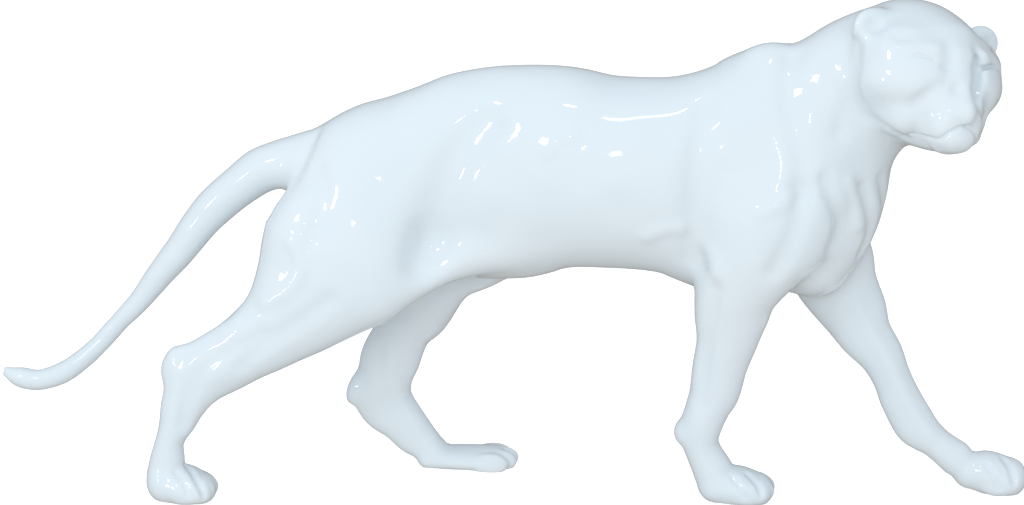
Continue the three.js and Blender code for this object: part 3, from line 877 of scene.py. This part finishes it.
def makePanther():
    shell = bpy.data.meshes.new("panther")
    shell.from_pydata(points.tolist(), [], quads.tolist())
    mesh = bmesh.new()
    mesh.from_mesh(shell)
    refine(mesh)
    mesh.to_mesh(shell)
    mesh.free()
    places = np.array([vertex.co[:] for vertex in shell.vertices])
    edges = np.array([edge.vertices[:] for edge in shell.edges])
    print("refined skin", len(places), "points")
    for softRounds, pull, rounds in ((2, 0.5, 3), (1, 0.4, 1)):
        places = settle(relax(places, edges, softRounds, pull), rounds)
    print("settled on the forms")
    shell.vertices.foreach_set("co", places.astype(np.float32).ravel())
    shell.update()
    normals = np.zeros(places.size, dtype=np.float32)
    shell.vertices.foreach_get("normal", normals)
    return shell, handFinish(places, normals.reshape(-1, 3))


shell, places = makePanther()
drawnLow, drawnHigh = places.min(0), places.max(0)
unit = (cadHigh.x - cadLow.x) / (drawnHigh[0] - drawnLow[0])
drawnMiddle = np.array([(drawnLow[0] + drawnHigh[0]) / 2, (drawnLow[1] + drawnHigh[1]) / 2, figure["ground"]])
cadMiddle = np.array([(cadLow.x + cadHigh.x) / 2, (cadLow.y + cadHigh.y) / 2, cadLow.z])


def inScene(place):  # metres in the part's frame, from the figure's own millimetres
    return (np.asarray(place, float) - drawnMiddle) * unit + cadMiddle


shell.vertices.foreach_set("co", inScene(places).astype(np.float32).ravel())
shell.update()
shell.shade_smooth()
panther = bpy.data.objects.new("panther_cast", shell)
bpy.context.collection.objects.link(panther)
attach(panther, "root")
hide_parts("panther")
print("panther", len(shell.vertices), "points", len(shell.polygons), "faces")


class Wire:  # a socket, where each operation on it adds a Math node
    def __init__(self, tree, socket):
        self.tree = tree
        self.socket = socket

    def combine(self, operation, other, swapped=False):
        node = self.tree.nodes.new("ShaderNodeMath")
        node.operation = operation
        first, second = (1, 0) if swapped else (0, 1)
        self.tree.links.new(self.socket, node.inputs[first])
        if isinstance(other, Wire):
            self.tree.links.new(other.socket, node.inputs[second])
        else:
            node.inputs[second].default_value = other
        return Wire(self.tree, node.outputs[0])

    def __add__(self, other):
        return self.combine("ADD", other)

    def __sub__(self, other):
        return self.combine("SUBTRACT", other)

    def __rsub__(self, other):
        return self.combine("SUBTRACT", other, True)

    def __mul__(self, other):
        return self.combine("MULTIPLY", other)

    __radd__ = __add__
    __rmul__ = __mul__


class Finish:  # a material with its node tree
    def __init__(self, name):
        self.material = bpy.data.materials.new(name)
        self.material.use_nodes = True
        self.tree = self.material.node_tree
        self.shader = self.tree.nodes["Principled BSDF"]

    def node(self, kind, settings=None, inputs=None, output=0):
        made = self.tree.nodes.new(kind)
        for key, value in (settings or {}).items():
            setattr(made, key, value)
        for key, value in (inputs or {}).items():
            self.feed(made, key, value)
        return Wire(self.tree, made.outputs[output])

    def feed(self, node, key, value):
        if isinstance(value, Wire):
            self.tree.links.new(value.socket, node.inputs[key])
        else:
            node.inputs[key].default_value = value


mixPlace = {"factor": 0, "first": 6, "second": 7, "colour": 2}  # a colour Mix node's sockets

lacquer = {
    "colour": (0.69, 0.775, 0.835, 1),
    "cooler": (0.645, 0.75, 0.82, 1),
    "clouds": {"Scale": 6.0, "Detail": 3.0},
    "cloudContrast": 1.6,
    "cloudShift": 0.3,
    "smears": {"Scale": 40.0, "Detail": 4.0},
    "smear": 0.05,        # what they add to the roughness
    "roughness": 0.03,
    "coat": 0.3,
    "coatRoughness": 0.02,
    "gloss": 1.5,         # index of refraction
    "ripples": {"Scale": 26.0, "Detail": 1.0},
    "ripple": {"Strength": 0.6, "Distance": 0.0005},  # metres of height in the sprayed coat
    "peels": {"Scale": 420.0, "Detail": 0.0},
    "peel": {"Strength": 0.5, "Distance": 0.00004},
}


def makeLacquer():
    finish = Finish("white_lacquer")
    place = finish.node("ShaderNodeTexCoord", output="Object")

    def noise(key):
        return finish.node("ShaderNodeTexNoise", inputs={"Vector": place, **lacquer[key]})

    shades = {
        mixPlace["factor"]: noise("clouds") * lacquer["cloudContrast"] - lacquer["cloudShift"],
        mixPlace["first"]: lacquer["colour"],
        mixPlace["second"]: lacquer["cooler"],
    }
    colour = finish.node("ShaderNodeMix", {"data_type": "RGBA"}, shades, mixPlace["colour"])
    roughness = noise("smears") * lacquer["smear"] + lacquer["roughness"]
    wavy = finish.node("ShaderNodeBump", inputs={**lacquer["ripple"], "Height": noise("ripples")})
    grain = {**lacquer["peel"], "Height": noise("peels"), "Normal": wavy}
    finish.feed(finish.shader, "Base Color", colour)
    finish.feed(finish.shader, "Roughness", roughness)
    finish.feed(finish.shader, "Normal", finish.node("ShaderNodeBump", inputs=grain))
    finish.feed(finish.shader, "IOR", lacquer["gloss"])
    finish.feed(finish.shader, "Coat Weight", lacquer["coat"])
    finish.feed(finish.shader, "Coat Roughness", lacquer["coatRoughness"])
    return finish.material


shell.materials.append(makeLacquer())
print("lacquer laid")


studio = {
    "sheetWidth": 14,
    "sheetDepth": 4.2,                  # from the figure to the bend
    "bend": 1.2,
    "bendPieces": 12,
    "rise": 5,
    "paper": (0.95, 0.95, 0.95, 1),
    "paperGlow": 0.5,                   # the sheet is lit through, as on a light table
    "paperRoughness": 0.8,
    "paperGrain": 0.1,                  # what the grain adds to it
    "grainScale": 3.0,
    "above": (0.78, 0.795, 0.82, 1),    # what lights the figure from all round
    "below": (0.70, 0.66, 0.62, 1),
    "blend": 0.5,                       # half the height over which one turns into the other
    "mirrored": (0.34, 0.33, 0.31, 1),  # what the gloss sees there
    "aim": (0, 0, 0.28),                # where all the lamps point
    "front": {"place": (0.1, -3.2, 1.1), "size": (3.4, 2.2), "power": 42, "mirrored": False},
    "sun": {"place": (0.12, -0.98, 2.15), "size": (0.3, 0.08), "power": 1.0, "mirrored": True},
    "window": {"place": (-1.39, -2.15, 1.73), "size": (0.42, 0.36), "power": 9, "mirrored": True},
    "lowWindow": {"place": (-2.2, -2.4, 0.6), "size": (0.14, 0.5), "power": 4, "mirrored": True},
    "lantern": {"place": (0.0, -2.7, 1.2), "size": (0.12, 0.12), "power": 0.7, "mirrored": True},
}


def makePaper():
    finish = Finish("paper")
    place = finish.node("ShaderNodeTexCoord", output="Object")
    grain = finish.node("ShaderNodeTexNoise", inputs={"Vector": place, "Scale": studio["grainScale"]})
    finish.feed(finish.shader, "Roughness", grain * studio["paperGrain"] + studio["paperRoughness"])
    finish.feed(finish.shader, "Base Color", studio["paper"])
    finish.feed(finish.shader, "Emission Color", studio["paper"])
    finish.feed(finish.shader, "Emission Strength", studio["paperGlow"])
    return finish.material


def makeFloor():  # a sheet that lies flat and bends up behind the figure
    half = studio["sheetWidth"] / 2
    depth, bend = studio["sheetDepth"], studio["bend"]
    profile = [(-half, 0)]
    for i in range(studio["bendPieces"] + 1):
        angle = math.pi / 2 * i / studio["bendPieces"]
        profile.append((depth + bend * math.sin(angle), bend * (1 - math.cos(angle))))
    profile.append((depth + bend, studio["rise"]))
    corners = [(x, y, z + cadLow.z) for y, z in profile for x in (-half, half)]
    faces = [(i, i + 1, i + 3, i + 2) for i in range(0, len(corners) - 2, 2)]
    sheet = bpy.data.meshes.new("floor")
    sheet.from_pydata(corners, [], faces)
    sheet.shade_smooth()
    sheet.materials.append(makePaper())
    floor = bpy.data.objects.new("floor", sheet)
    bpy.context.collection.objects.link(floor)
    floor.visible_glossy = False
    floor.visible_diffuse = False


def makeLight(name):
    values = studio[name]
    lamp = bpy.data.lights.new(name, "AREA")
    lamp.shape = "RECTANGLE"
    lamp.size, lamp.size_y = values["size"]
    lamp.energy = values["power"]
    light = bpy.data.objects.new(name, lamp)
    bpy.context.collection.objects.link(light)
    light.location = values["place"]
    line = Vector(studio["aim"]) - Vector(values["place"])
    light.rotation_euler = line.to_track_quat("-Z", "Y").to_euler()
    light.visible_glossy = values["mirrored"]


def lightRoom(tree):  # brighter above than below, and dimmer where it is mirrored
    def colours(factor, first, second):
        mix = tree.nodes.new("ShaderNodeMix")
        mix.data_type = "RGBA"
        tree.links.new(factor, mix.inputs[mixPlace["factor"]])
        for key, value in (("first", first), ("second", second)):
            if isinstance(value, bpy.types.NodeSocket):
                tree.links.new(value, mix.inputs[mixPlace[key]])
            else:
                mix.inputs[mixPlace[key]].default_value = value
        return mix.outputs[mixPlace["colour"]]

    direction = tree.nodes.new("ShaderNodeTexCoord")
    split = tree.nodes.new("ShaderNodeSeparateXYZ")
    tree.links.new(direction.outputs["Generated"], split.inputs[0])
    spread = tree.nodes.new("ShaderNodeMapRange")
    spread.inputs["From Min"].default_value = -studio["blend"]
    spread.inputs["From Max"].default_value = studio["blend"]
    tree.links.new(split.outputs["Z"], spread.inputs[0])
    dome = colours(spread.outputs[0], studio["below"], studio["above"])
    path = tree.nodes.new("ShaderNodeLightPath")
    seen = colours(path.outputs["Is Glossy Ray"], dome, studio["mirrored"])
    tree.links.new(seen, tree.nodes["Background"].inputs[0])


makeFloor()
for name in ("front", "sun", "window", "lowWindow", "lantern"):
    makeLight(name)
world = bpy.context.scene.world or bpy.data.worlds.new("studio")
bpy.context.scene.world = world
world.use_nodes = True
lightRoom(world.node_tree)
bpy.context.scene.view_settings.view_transform = "Standard"
print("studio lit")


viewpoint = {
    "turn": 4.5,         # degrees round from square on to the right side
    "distance": 2500,    # figure's millimetres
    "height": 850,
    "aim": [0, 0, 241],
    "framePixels": 1024,
    "sensor": 36,
}


def makeCamera():
    turn = math.radians(viewpoint["turn"])
    flat = viewpoint["distance"]
    eye = [flat * math.sin(turn), -flat * math.cos(turn), viewpoint["height"]]
    reach = math.dist(eye, viewpoint["aim"])
    lens = bpy.data.cameras.new("photo")
    lens.sensor_width = viewpoint["sensor"]
    lens.lens = reach / viewpoint["framePixels"] * viewpoint["sensor"]  # one pixel is a millimetre at the aim
    camera = bpy.data.objects.new("photo", lens)
    bpy.context.collection.objects.link(camera)
    camera.location = inScene(eye)
    line = Vector(inScene(viewpoint["aim"])) - camera.location
    camera.rotation_euler = line.to_track_quat("-Z", "Y").to_euler()
    bpy.context.scene.camera = camera


makeCamera()
